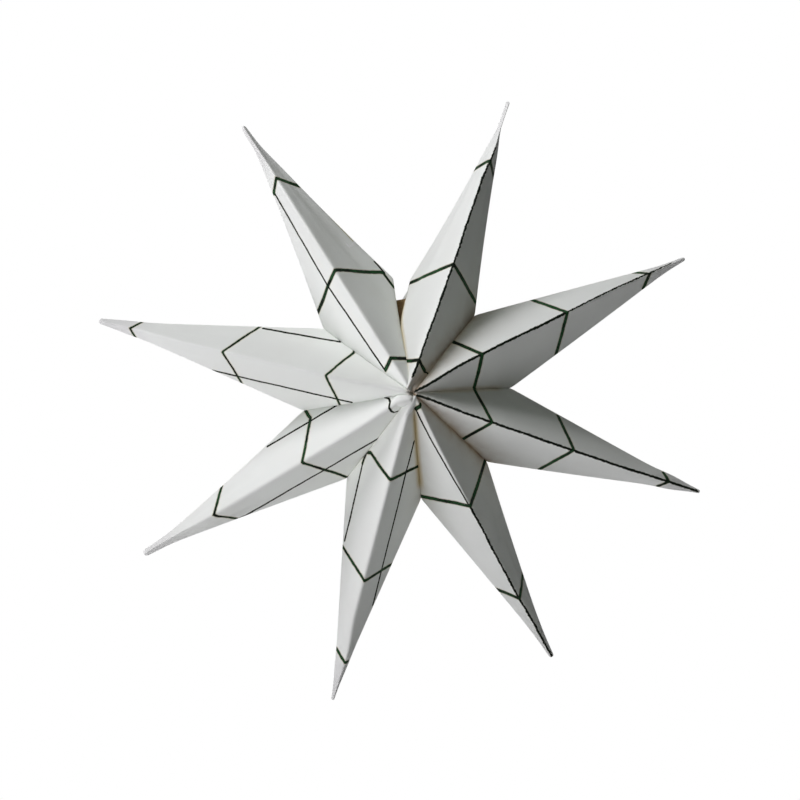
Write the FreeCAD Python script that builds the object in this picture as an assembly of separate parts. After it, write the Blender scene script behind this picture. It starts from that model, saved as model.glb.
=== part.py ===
"""Eight-pointed folded paper star: eight hollow arms glued side by side, with two closure cards.

Millimetres.  The star's axis lies along Y and its front looks along -Y.  The origin is the star's
centre, and the closure seam, from which the star hangs, points along +Z.
"""

import FreeCAD, Part
import math
import os

from FreeCAD import Vector

# ---- driving dimensions -------------------------------------------------------------------------

ARM_COUNT = 8
TIP_RADIUS = 150.0          # star's centre to the end of a point
NOTCH_RADIUS = 50.0         # star's centre to the inner corner between two arms
HALF_DEPTH = 45.0           # middle plane to the front, or back, centre
CLOSURE_GAP = 4.8           # degrees left open between the first and the last arm

PAPER = 0.4                 # thick handmade paper
RIDGE_RADIUS = 1.4          # outside of the pressed crease along a ridge, at the star's axis
SIDE_RADIUS = 7.0           # outside of the soft bend between front and back, at the star's axis
RIDGE_STEPS = 4             # flat strips round a crease
SIDE_STEPS = 6              # flat strips round a soft bend

POINT_LENGTH = 14.0         # the last stretch of an arm, pinched to a blunt needle
POINT_RUN_OUT = 5.0         # how far short of its end the arm's straight sides would meet
POINT_END_SCALE = 0.034     # section at the needle's end, against the section at the star's axis

FLAP_WIDTH = 8.0            # glue flap turned in along each inner edge
FLAP_MITRE = 1.6            # slit between the front and the back flap, at the inner corner
LAP_WIDTH = 7.0             # glue lap inside the back ridge, where the sheet closes on itself
LAP_END_CLEARANCE = 1.0     # the lap stops this far from the glue flaps
LAP_SHORT_OF_POINT = 30.0   # and this far before the pinched point

CARD = 0.6                  # kraft card that stiffens a closure edge
CARD_WIDTH = 14.0           # wider than the flap, so that the hole clears the paper
CARD_EDGE_INSET = 1.0       # card stays this far inside the fold of the paper
CARD_SEAM_CLEARANCE = 0.1   # between the two cards where they come nearest
HANG_HOLE_RADIUS = 1.5      # punched through both cards for a string or a hook

# ---- what follows from them ---------------------------------------------------------------------

PITCH = (360.0 - CLOSURE_GAP) / ARM_COUNT
HALF_PITCH = math.radians(PITCH / 2.0)
HALF_GAP = math.radians(CLOSURE_GAP / 2.0)

CONE_LENGTH = TIP_RADIUS - POINT_RUN_OUT
POINT_START = TIP_RADIUS - POINT_LENGTH
POINT_START_SCALE = 1.0 - POINT_START / CONE_LENGTH

NOTCH_ALONG = NOTCH_RADIUS * math.cos(HALF_PITCH)
NOTCH_ACROSS = NOTCH_RADIUS * math.sin(HALF_PITCH)
HALF_WIDTH = NOTCH_ACROSS * CONE_LENGTH / (CONE_LENGTH - NOTCH_ALONG)


def corner_inset(radius, half_angle):
    """How far a rounded corner stays back from the sharp one."""
    return radius / math.sin(half_angle) - radius


# the flat faces run on to sharp corners, which the bends then round down to the sizes above
SHARP_SIDE = HALF_WIDTH + corner_inset(SIDE_RADIUS, math.atan2(HALF_DEPTH, HALF_WIDTH))
SHARP_RIDGE = HALF_DEPTH + corner_inset(RIDGE_RADIUS, math.atan2(HALF_WIDTH, HALF_DEPTH))
SIDE_HALF_ANGLE = math.atan2(SHARP_RIDGE, SHARP_SIDE)
RIDGE_HALF_ANGLE = math.atan2(SHARP_SIDE, SHARP_RIDGE)

OUTWARD = Vector(1.0 / SHARP_SIDE, 1.0 / SHARP_RIDGE, 1.0 / CONE_LENGTH).normalize()
SHEET_SHIFT = PAPER / OUTWARD.z         # a cone moved this far inward lies one sheet inside

EDGE_STRETCH = math.hypot(NOTCH_RADIUS, HALF_DEPTH) / NOTCH_RADIUS
EDGE_SINE = HALF_DEPTH / math.hypot(NOTCH_RADIUS, HALF_DEPTH)
REACH = 2.0 * (TIP_RADIUS + HALF_DEPTH)     # longer than any cut needs


# ---- small helpers ------------------------------------------------------------------------------

def bend(corner, toward, half_angle, radius, steps):
    """Points round one bend, from one tangent point to the other, counter-clockwise."""
    centre_distance = radius / math.sin(half_angle)
    half_turn = math.pi / 2.0 - half_angle
    points = []
    for step in range(steps + 1):
        angle = toward + math.pi + half_turn * (2.0 * step / steps - 1.0)
        along = centre_distance * math.cos(toward) + radius * math.cos(angle)
        aside = centre_distance * math.sin(toward) + radius * math.sin(angle)
        points.append((corner[0] + along, corner[1] + aside))
    return points


def section(scale, height, thinner=0.0):
    """Rounded rhombus across an arm: side bends along X, ridges along Y."""
    side = SHARP_SIDE * scale
    ridge = SHARP_RIDGE * scale
    side_radius = (SIDE_RADIUS - thinner) * scale
    ridge_radius = (RIDGE_RADIUS - thinner) * scale
    outline = []
    outline += bend((side, 0), math.pi, SIDE_HALF_ANGLE, side_radius, SIDE_STEPS)
    outline += bend((0, ridge), -math.pi / 2.0, RIDGE_HALF_ANGLE, ridge_radius, RIDGE_STEPS)
    outline += bend((-side, 0), 0.0, SIDE_HALF_ANGLE, side_radius, SIDE_STEPS)
    outline += bend((0, -ridge), math.pi / 2.0, RIDGE_HALF_ANGLE, ridge_radius, RIDGE_STEPS)
    return [Vector(x, y, height) for x, y in outline]


def tapered(sections):
    """Solid with flat strips between a row of similar sections."""
    faces = [Part.Face(Part.makePolygon(points + points[:1])) for points in (sections[0], sections[-1])]
    for near, far in zip(sections, sections[1:]):
        for index in range(len(near)):
            following = (index + 1) % len(near)
            corners = [near[index], near[following], far[following], far[index], near[index]]
            faces.append(Part.Face(Part.makePolygon(corners)))
    solid = Part.Solid(Part.Shell(faces))
    if solid.Volume < 0:
        solid.reverse()
    return solid


def prism(points, direction):
    """Closed polygon pushed along a vector."""
    outline = Part.makePolygon(list(points) + [points[0]])
    return Part.Face(outline).extrude(direction)


def wedge(setback=0.0):
    """The arm's share of the circle; each side set back by a thickness."""
    start = setback / math.sin(HALF_PITCH)
    depth = 2.0 * HALF_DEPTH + 2.0 * SIDE_RADIUS
    corners = [
        Vector(0, -depth / 2.0, start),
        Vector(REACH * math.sin(HALF_PITCH), -depth / 2.0, start + REACH * math.cos(HALF_PITCH)),
        Vector(-REACH * math.sin(HALF_PITCH), -depth / 2.0, start + REACH * math.cos(HALF_PITCH)),
    ]
    return prism(corners, Vector(0, depth, 0))


def turned(shape, angle):
    """Copy of a shape turned clockwise about the star's axis, as seen from the front."""
    copy = shape.copy()
    copy.rotate(Vector(0, 0, 0), Vector(0, 1, 0), math.degrees(angle))
    return copy


# ---- paper arm ----------------------------------------------------------------------------------

def arm_outside():
    """Solid within the outer faces: a long cone that ends in the pinched point."""
    return tapered([
        section(1.0, 0.0),
        section(POINT_START_SCALE, POINT_START),
        section(POINT_END_SCALE, TIP_RADIUS),
    ])


def arm_inside():
    """Solid one sheet further in, up to where the point is pinched shut."""
    return tapered([
        section(1.0, -SHEET_SHIFT, PAPER),
        section(POINT_START_SCALE, POINT_START - SHEET_SHIFT, PAPER),
    ])


def flap_window():
    """What is left open between the glue flaps, in the plane of the +X inner edge."""
    window_half_depth = HALF_DEPTH - FLAP_WIDTH * EDGE_STRETCH
    window_radius = NOTCH_RADIUS * window_half_depth / HALF_DEPTH
    beside = 2.0 * PAPER
    mitre_start = window_radius * (1.0 - FLAP_MITRE / (2.0 * window_half_depth))
    outline = [
        Vector(beside, -window_half_depth, 0),
        Vector(beside, -FLAP_MITRE / 2.0, mitre_start),
        Vector(beside, -FLAP_MITRE / 2.0, NOTCH_RADIUS),
        Vector(beside, FLAP_MITRE / 2.0, NOTCH_RADIUS),
        Vector(beside, FLAP_MITRE / 2.0, mitre_start),
        Vector(beside, window_half_depth, 0),
    ]
    return turned(prism(outline, Vector(-2.0 * beside, 0, 0)), HALF_PITCH)


def back_lap(outside):
    """Second layer of paper inside the back ridge, on its -X face."""
    across = LAP_WIDTH * math.sin(RIDGE_HALF_ANGLE)
    start = (across + PAPER) / math.tan(HALF_PITCH) + LAP_END_CLEARANCE
    end = POINT_START - LAP_SHORT_OF_POINT
    corners = []
    for height, x in ((start, 0.0), (end, 0.0), (end, -across / 2.0), (start, -across)):
        depth = SHARP_RIDGE * (1.0 - height / CONE_LENGTH + x / SHARP_SIDE)
        corners.append(Vector(x, depth, height))
    inward = Vector(OUTWARD.x, -OUTWARD.y, -OUTWARD.z)
    plate = prism(corners, inward * (1.5 * PAPER))
    plate.translate(inward * (0.5 * PAPER))
    left_half = Part.makeBox(REACH, REACH, REACH, Vector(-REACH, 0, 0))
    return plate.common(left_half).common(outside)


def make_arm():
    """One folded sheet, pointing along +Z: four faces, two ridges, two soft bends, four flaps."""
    window = flap_window()
    room = wedge(PAPER).fuse([window, window.mirror(Vector(0, 0, 0), Vector(1, 0, 0))])
    outside = arm_outside()
    sheet = outside.common(wedge()).cut(arm_inside().common(room))
    return sheet.fuse(back_lap(outside))


# ---- closure card -------------------------------------------------------------------------------

def make_card():
    """Angled card for the +X side of the seam, flat against the first arm's flaps."""
    card_inner_radius = (CARD + CARD_SEAM_CLEARANCE) / math.sin(HALF_GAP)
    outer_radius = NOTCH_RADIUS - CARD_EDGE_INSET / EDGE_SINE
    inner_radius = outer_radius - CARD_WIDTH / EDGE_SINE
    rise = HALF_DEPTH / NOTCH_RADIUS
    outer_half_depth = (outer_radius - card_inner_radius) * rise
    inner_half_depth = (inner_radius - card_inner_radius) * rise
    card = prism(
        [
            Vector(0, -outer_half_depth, card_inner_radius),
            Vector(0, 0, outer_radius),
            Vector(0, outer_half_depth, card_inner_radius),
            Vector(0, inner_half_depth, card_inner_radius),
            Vector(0, 0, inner_radius),
            Vector(0, -inner_half_depth, card_inner_radius),
        ],
        Vector(-CARD, 0, 0),
    )
    hole_height = hang_hole_height()
    hole = Part.makeCylinder(
        HANG_HOLE_RADIUS, REACH, Vector(-REACH / 2.0, 0, hole_height), Vector(1, 0, 0)
    )
    return turned(card, HALF_GAP).cut(hole)


def hang_hole_height():
    """Height of the hole's axis, midway between the flap's edge and the card's inner edge."""
    outer_radius = NOTCH_RADIUS - CARD_EDGE_INSET / EDGE_SINE
    from_edge = (FLAP_WIDTH + CARD_WIDTH) / 2.0
    return (outer_radius - from_edge / EDGE_SINE) * math.cos(HALF_GAP)


# ---- write the pieces ---------------------------------------------------------------------------

def write(name, shape):
    """Check one piece and save it under its name."""
    solids = shape.Solids
    if len(solids) != 1 or not solids[0].isValid():
        raise ValueError(f"{name} is {len(solids)} solids or not valid")
    solids[0].exportStep(os.path.join("parts", f"{name}.step"))
    print(f"{name}: {solids[0].Volume / 1000.0:.2f} cm3")


def main():
    """Build the eight arms, clockwise from the seam, and the two closure cards."""
    os.makedirs("parts", exist_ok=True)
    arm = make_arm()
    for number in range(1, ARM_COUNT + 1):
        angle = HALF_GAP + (2 * number - 1) * HALF_PITCH
        write(f"arm_{number}", turned(arm, angle))
    card = make_card()
    write("closure_card_right", card)
    write("closure_card_left", card.mirror(Vector(0, 0, 0), Vector(1, 0, 0)))
    print(f"hang hole axis at height {hang_hole_height():.3f}")


main()
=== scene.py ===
"""Looks of a folded paper star: eight printed arms glued in a ring and closed with two kraft cards.

The fields of the classes below are in millimetres and degrees; meshes are made in metres.  The
star's axis lies along Y and its front looks along -Y.  The closure, from which the star hangs,
points along +Z, and the arms are numbered clockwise from it, as seen from the front.
"""

import logging
import math
from dataclasses import dataclass, field, replace
from enum import Enum
from typing import Optional, Sequence

import bpy
import numpy as np
from mathutils import Matrix, Vector, noise


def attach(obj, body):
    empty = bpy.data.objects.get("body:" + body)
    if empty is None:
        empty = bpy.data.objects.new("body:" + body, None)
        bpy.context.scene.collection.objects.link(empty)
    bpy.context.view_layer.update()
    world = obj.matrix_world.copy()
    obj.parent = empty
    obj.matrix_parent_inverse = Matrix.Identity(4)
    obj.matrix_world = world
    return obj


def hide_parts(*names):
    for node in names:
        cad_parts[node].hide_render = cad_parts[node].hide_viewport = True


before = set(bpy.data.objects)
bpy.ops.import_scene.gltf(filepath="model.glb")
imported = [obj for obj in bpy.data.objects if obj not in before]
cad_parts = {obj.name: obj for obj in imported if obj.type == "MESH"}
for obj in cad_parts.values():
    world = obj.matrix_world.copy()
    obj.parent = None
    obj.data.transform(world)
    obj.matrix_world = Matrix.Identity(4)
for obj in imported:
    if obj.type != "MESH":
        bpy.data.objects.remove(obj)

MM = 0.001
BODY = "root"
SHEET_MAP = "sheet_map"
SEAM_TRIM = "seam_trim"

Pair = tuple[float, float]
Grids = tuple[np.ndarray, np.ndarray]
Face = tuple[int, ...]
Colour = tuple[float, float, float, float]

log = logging.getLogger("paper_star")


class Side(Enum):
    """Which side of the closure, or of an arm, as seen from the front."""

    LEFT = -1
    RIGHT = 1


class Stroke(Enum):
    """How a line on the paper was laid down; a scuff is rubbed in, not printed."""

    BOLD = "bold"
    FINE = "fine"
    ROUGH = "rough"
    FADED = "faded"
    SCUFF = "scuff"


# ---- sizes shared by every arm --------------------------------------------------------------------


@dataclass(frozen=True)
class StarForm:
    """Sizes of the even star that every arm starts from."""

    tip_radius: float = 150.0
    cone_length: float = 145.0  # where the faces of an arm would meet without its blunt point
    notch_radius: float = 50.0
    half_width: float = 27.8  # of an arm's rhombus, carried on to the star's axis
    half_depth: float = 45.0
    closure_gap: float = 4.8
    arm_count: int = 8
    sheet: float = 0.35
    skin: float = 0.4025  # how far the outside of the sheet lies past the seams' plane
    skin_blend: float = 0.8
    skin_floor: float = 0.2  # half width below which the skin stands off less
    bend_lift: float = 0.25  # share of a bend's reach by which its corner is raised
    side_soft: float = 10.0  # how far the bend of a side reaches into a face
    ridge_share: float = 0.40  # the most of a face that a ridge's bend takes
    side_share: float = 0.30
    swell: float = 0.035
    swell_grows: Pair = (3.0, 12.0)
    fold: float = 0.45
    flap: float = 8.0
    seam_depth: float = 33.5  # from the star's centre to the glued edge, square to it
    point_flare: float = 0.085
    point_flatness: float = 0.9
    cap_least: float = 0.5
    cap_growth: float = 1.4
    centre_blend: float = 9.0  # radius within which the seams run true again

    @property
    def pitch(self) -> float:
        """Angle from one arm to the next, in degrees."""
        return (360.0 - self.closure_gap) / self.arm_count

    @property
    def half_pitch(self) -> float:
        """Half the angle of one arm, in radians."""
        return math.radians(self.pitch / 2.0)

    def direction(self, number: int) -> float:
        """Angle of an arm's axis, clockwise from the closure, in degrees."""
        return self.closure_gap / 2.0 + (number - 0.5) * self.pitch

    def seam_angle(self, after: int) -> float:
        """Angle of the seam that follows an arm, in degrees."""
        return self.closure_gap / 2.0 + after * self.pitch

    def edge_depth(self, radius: np.ndarray) -> np.ndarray:
        """Half the depth of a seam at a radius."""
        return self.half_depth * (1.0 - radius / self.notch_radius)


@dataclass(frozen=True)
class HandWork:
    """Marks that folding and glueing by hand leave, and the painted shade of the seams and the centre
    pit, the same on every arm.

    A pair gives the distances out along an arm, or the shares of it, between which a mark grows or
    dies away.
    """

    drift_grows: Pair = (4.0, 32.0)
    drift_ends: Pair = (105.0, 135.0)
    inner_lean_fade: float = 30.0
    point_lean_grows: Pair = (108.0, 132.0)
    curl_from: float = 116.0
    outer_bulge_at: float = 0.87
    outer_bulge_spread: float = 0.09
    bulge_floor: float = 0.1
    drift_floor: float = 0.1
    wave: float = 0.55
    wave_length: float = 21.0
    ripple: float = 0.4
    ripple_length: float = 8.0
    wave_grows: Pair = (0.0, 0.12)
    wave_ends: Pair = (0.8, 0.97)
    face_slant: float = 0.52  # how wide a millimetre of a face looks from the front
    # painted warm shade along the seams' valleys, close to the seam and further out
    close_seam_shade: Pair = (0.40, 1.4)  # strength, and how fast it fades off the seam
    wide_seam_shade: Pair = (0.60, 6.0)
    # painted shade in the pit where the ridges meet
    centre_pit_shade: Pair = (0.5, 2.6)
    trim_grows: Pair = (5.0, 13.0)
    trim_ends: Pair = (42.0, 46.0)
    pressed_in: float = 3.0
    pressed_middle: float = -0.3
    pressed_spread: Pair = (0.9, 2.6)
    rolled_thin: float = 0.6
    rolled_from: Pair = (135.0, 148.0)


FORM = StarForm()
HAND = HandWork()


# ---- shared sums ----------------------------------------------------------------------------------


def smooth(value: np.ndarray, low: float, high: float) -> np.ndarray:
    """Rise from 0 at the low value to 1 at the high one, with soft ends."""
    share = np.clip((np.asarray(value, float) - low) / (high - low), 0.0, 1.0)
    return share * share * (3.0 - 2.0 * share)


def never_under(value: np.ndarray, floor: np.ndarray, softness: float = 0.35) -> np.ndarray:
    """Keep a shrinking size from going under a floor, with a soft change."""
    return 0.5 * (value + floor + np.hypot(value - floor, softness * floor))


def widest(values: np.ndarray, floor: float = 0.0) -> np.ndarray:
    """Largest distance in each row, and no less than a floor."""
    return np.maximum(np.abs(values).max(axis=1, keepdims=True), floor)


def point_rows(*grids: np.ndarray) -> np.ndarray:
    """Grids side by side, one row for each point."""
    return np.stack(grids, axis=-1).reshape(-1, len(grids))


def quads(rows: int, columns: int, closed: bool = False) -> list[Face]:
    """Four-sided faces over a grid of points.

    Args:
        rows: Rows of points.
        columns: Points in a row.
        closed: Whether each row closes into a ring.

    Returns:
        The numbers of each face's points.
    """
    faces = []
    for row in range(rows - 1):
        for column in range(columns if closed else columns - 1):
            here, beside = row * columns + column, row * columns + (column + 1) % columns
            faces.append((here, beside, beside + columns, here + columns))
    return faces


def toward(azimuth: float, elevation: float) -> Vector:
    """Direction from the star to what stands round it.

    Args:
        azimuth: Angle round the star from its front, in degrees.
        elevation: Angle above the level, in degrees.

    Returns:
        The unit vector.
    """
    round_it, above = math.radians(azimuth), math.radians(elevation)
    level = math.cos(above)
    return Vector((math.sin(round_it) * level, -math.cos(round_it) * level, math.sin(above)))


def new_object(name: str, data: bpy.types.ID) -> bpy.types.Object:
    """Put a new object in the scene.

    Args:
        name: Its name.
        data: Its mesh, lamp or camera.

    Returns:
        The object.
    """
    made = bpy.data.objects.new(name, data)
    bpy.context.scene.collection.objects.link(made)
    return made


# ---- seams ----------------------------------------------------------------------------------------


@dataclass(frozen=True)
class Seam:
    """Glued seam between two arms, and how it strays from the even star."""

    angle: float
    reach: float = 0.0
    turn: float = 0.0
    # strength of the painted shade in this seam's valley
    seam_shade: float = 0.0
    trim: float = 0.0
    trim_width: float = 0.75
    flap_recess: float = 0.0

    def placed(self, radius: np.ndarray, depth: np.ndarray) -> Grids:
        """Where points of the seam lie.

        Args:
            radius: Distances from the star's axis on the even star.
            depth: Distances behind the middle plane, which change nothing at a glued seam.

        Returns:
            Their places along X and along Z.
        """
        angle = np.radians(self.angle + self.turn * radius / FORM.notch_radius)
        out = radius * (1.0 + self.reach / FORM.notch_radius)
        return out * np.sin(angle), out * np.cos(angle)


@dataclass(frozen=True)
class ClosureEdge(Seam):
    """One lip of the closure, which stands open at its outer end only."""

    side: Side = Side.LEFT
    slot: float = 0.3
    flap_recess: float = 0.44
    stray: float = 0.95
    lean: float = -0.045
    settled: float = -0.5
    opens_at: float = 29.5
    opening: float = 0.0
    opening_power: float = 1.7
    front_from: float = -0.75
    beak_from: float = 40.0
    open_through: float = 46.0
    through_blend: float = 4.0

    def placed(self, radius: np.ndarray, depth: np.ndarray) -> Grids:
        """Where points of the lip lie.

        Args:
            radius: Distances from the star's axis on the even star.
            depth: Distances behind the middle plane.

        Returns:
            Their places along X and along Z.
        """
        beak = np.maximum(radius - self.beak_from, 0.0) / (FORM.notch_radius - self.beak_from)
        out = radius + self.reach * beak**3
        front = smooth(-depth / (FORM.edge_depth(radius) + 1.0), self.front_from, 0.0)
        through = smooth(radius, self.open_through - self.through_blend, self.open_through)
        past = np.maximum(radius - self.opens_at, 0.0)
        flare = self.opening * past**self.opening_power * np.maximum(front, through)
        middle = np.maximum(self.stray + self.lean * out, self.settled)
        lip = middle + self.side.value * 0.5 * self.slot
        return smooth(radius, 0.0, FORM.centre_blend) * lip + self.side.value * flare, out


def make_seams() -> list[Seam]:
    """The nine seam edges, in order round the star.

    Returns:
        The closure's right lip, the seams after arms 1 to 7, and the closure's left lip.
    """
    strays = (  # reach, turn, painted seam shade, trim, trim width
        (-0.5, -0.6, 0.85, 0.15, 1.1),
        (-1.3, 0.8, 0.25, 0.35, 1.1),
        (-1.5, 0.5, 1.00, 0.25, 1.6),
        (-1.4, -1.0, 0.35, 0.95, 1.9),
        (-1.9, -1.5, 0.05, 0.05, 1.1),
        (-0.6, -0.5, 0.0, 0.0, 1.1),
        (0.6, 1.7, 0.0, 0.0, 1.1),
    )
    right_lip = ClosureEdge(
        angle=0.0, reach=3.6, seam_shade=0.12, trim=0.95, trim_width=1.25,
        side=Side.RIGHT, opening=0.0200, opening_power=1.95,
    )
    left_lip = ClosureEdge(angle=0.0, reach=5.1, seam_shade=0.06, trim=0.10, side=Side.LEFT)
    glued = [Seam(FORM.seam_angle(after), *stray) for after, stray in enumerate(strays, start=1)]
    return [right_lip, *glued, left_lip]


# ---- print ----------------------------------------------------------------------------------------


@dataclass(frozen=True)
class Rule:
    """Straight line from one place on the sheet to another, each (along, across) its ridge."""

    start: Pair
    end: Pair
    width: float


@dataclass(frozen=True)
class Path:
    """Line through several places on the sheet."""

    places: tuple[Pair, ...]
    width: float = 1.3
    stroke: Stroke = Stroke.FINE

    def rules(self) -> list[Rule]:
        """Its straight runs."""
        return [Rule(start, end, self.width) for start, end in zip(self.places, self.places[1:])]


@dataclass(frozen=True)
class Print:
    """Honeycomb print on one arm: bold chevrons over the ridge, and other lines along it."""

    chevrons: tuple[tuple[Pair, ...], ...]
    paths: tuple[Path, ...]
    bold_width: float = 2.0

    def lines(self, stroke: Stroke) -> list[Rule]:
        """Every straight run laid down with one stroke.

        Args:
            stroke: The stroke to pick.

        Returns:
            The runs.
        """
        bold = [Path(places, self.bold_width, Stroke.BOLD) for places in self.chevrons]
        chosen = [path for path in (*self.paths, *bold) if path.stroke is stroke]
        return [rule for path in chosen for rule in path.rules()]


PRINTS = (
    Print(
        chevrons=(
            ((17.2, -11.0), (16.5, -0.6), (15.4, 3.4), (14.8, 7.8)),
            ((60.3, -38.0), (68.1, -0.2), (63.8, 36.0)),
            ((120.0, -11.5), (121.9, -8.0), (124.9, -1.6), (124.6, 0.8), (121.0, 13.0)),
        ),
        paths=(
            Path(
                ((8.2, -0.2), (17.0, -0.3), (68.0, -0.1), (124.8, 0.3), (132.5, 0.8)),
                1.9, Stroke.ROUGH,
            ),
        ),
    ),
    Print(
        chevrons=(
            ((36.9, -26.0), (39.8, -0.3), (36.5, 23.0)),
            ((85.3, -26.0), (88.6, -0.2), (84.3, 26.0)),
            ((133.0, -8.5), (136.8, -0.2), (133.8, 7.5)),
        ),
        paths=(
            Path(((2.0, -0.6), (88.0, -0.3)), 2.3, Stroke.ROUGH),
            Path(((88.0, -0.3), (150.0, -1.0)), 1.5, Stroke.ROUGH),
        ),
    ),
    Print(
        chevrons=(
            ((36.0, -23.0), (42.0, 0.6), (38.4, 25.0)),
            ((82.3, -25.0), (86.1, 0.0), (82.2, 27.0)),
            ((136.7, -6.0), (138.5, 0.8), (136.4, 7.0)),
        ),
        paths=(Path(((3.0, 0.6), (154.0, 0.3)), 2.2, Stroke.ROUGH),),
        bold_width=1.9,
    ),
    Print(
        chevrons=(
            ((8.6, 4.2), (7.0, -1.2)),
            ((54.5, -36.0), (62.7, 0.5), (54.8, 36.0)),
            ((109.6, -14.0), (115.9, 0.0), (109.7, 16.0)),
        ),
        paths=(
            Path(((8.6, 4.2), (14.2, 4.4), (25.2, 3.6), (39.7, 2.4), (62.0, 0.8)), 1.2),
            Path(((62.5, 0.4), (152.0, 0.2)), 1.9, Stroke.ROUGH),
        ),
    ),
    Print(
        chevrons=(
            ((40.4, -24.0), (43.4, -1.8), (43.4, 1.4), (39.6, 21.5), (40.9, 24.7), (47.0, 25.8)),
            ((90.8, -25.0), (94.7, -3.2), (95.1, -0.8), (94.0, 2.2), (89.2, 25.0)),
            ((137.8, -4.0), (137.3, 0.6), (136.4, 3.0), (134.3, 8.0)),
        ),
        paths=(Path(((46.0, 25.6), (86.0, 24.1))), Path(((26.1, -13.5), (110.8, -15.2)))),
        bold_width=1.6,
    ),
    Print(
        chevrons=(
            ((57.2, -36.0), (63.0, -2.2), (62.8, 0.8), (55.0, 27.4), (57.0, 36.0)),
            ((109.6, -17.0), (113.9, -3.0), (114.1, -0.4), (112.9, 2.6), (107.6, 15.5)),
        ),
        paths=(
            Path(
                (
                    (14.4, 9.0), (12.7, 6.7), (12.4, 3.8), (13.3, 0.8),
                    (14.1, -3.7), (13.7, -6.2), (12.2, -7.2),
                ),
                1.1,
            ),
            Path(((36.8, 25.2), (80.0, 25.0))),
            Path(((30.0, -18.4), (104.0, -17.1), (110.0, -16.2))),
        ),
        bold_width=1.6,
    ),
    Print(
        chevrons=(
            ((39.2, -24.5), (43.2, -1.0), (43.0, 1.2), (38.8, 22.2), (38.9, 26.0)),
            ((89.8, -25.5), (95.1, -1.0), (94.8, 1.2), (88.0, 25.5)),
            ((142.0, -6.5), (143.4, -0.6), (140.5, 7.0)),
        ),
        paths=(Path(((48.0, 28.4), (86.0, 24.6))), Path(((33.0, -18.7), (104.1, -19.6)))),
        bold_width=1.3,
    ),
    Print(
        chevrons=(
            ((18.9, -8.8), (20.2, 0.8), (18.9, 15.0)),
            ((67.2, -33.0), (71.6, -2.2), (72.2, 1.4), (70.2, 37.0), (61.5, 38.4)),
            ((124.2, -9.5), (126.4, -3.0), (127.3, -0.4), (126.5, 2.4), (122.8, 14.0)),
        ),
        paths=(
            Path(((18.9, -9.2), (70.0, -12.1), (124.4, -8.6))),
            Path(((70.2, 38.0), (76.4, 36.0)), 1.5),
            Path(((89.5, 29.2), (118.0, 17.6)), 0.7, Stroke.FADED),
            Path(((88.6, 22.9), (86.2, 23.7)), 0.9, Stroke.SCUFF),
            Path(((86.2, 24.6), (88.0, 29.4)), 0.7, Stroke.SCUFF),
        ),
    ),
)


# ---- shader wiring --------------------------------------------------------------------------------


@dataclass(frozen=True)
class Cloud:
    """Noise in a finish."""

    scale: float
    amount: float = 1.0
    detail: float = 2.0
    grain: float = 0.5
    within: Pair = (0.3, 0.7)  # values of the noise over which its patches grow
    to: Pair = (0.0, 1.0)  # what the patches grow from and to


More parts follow.
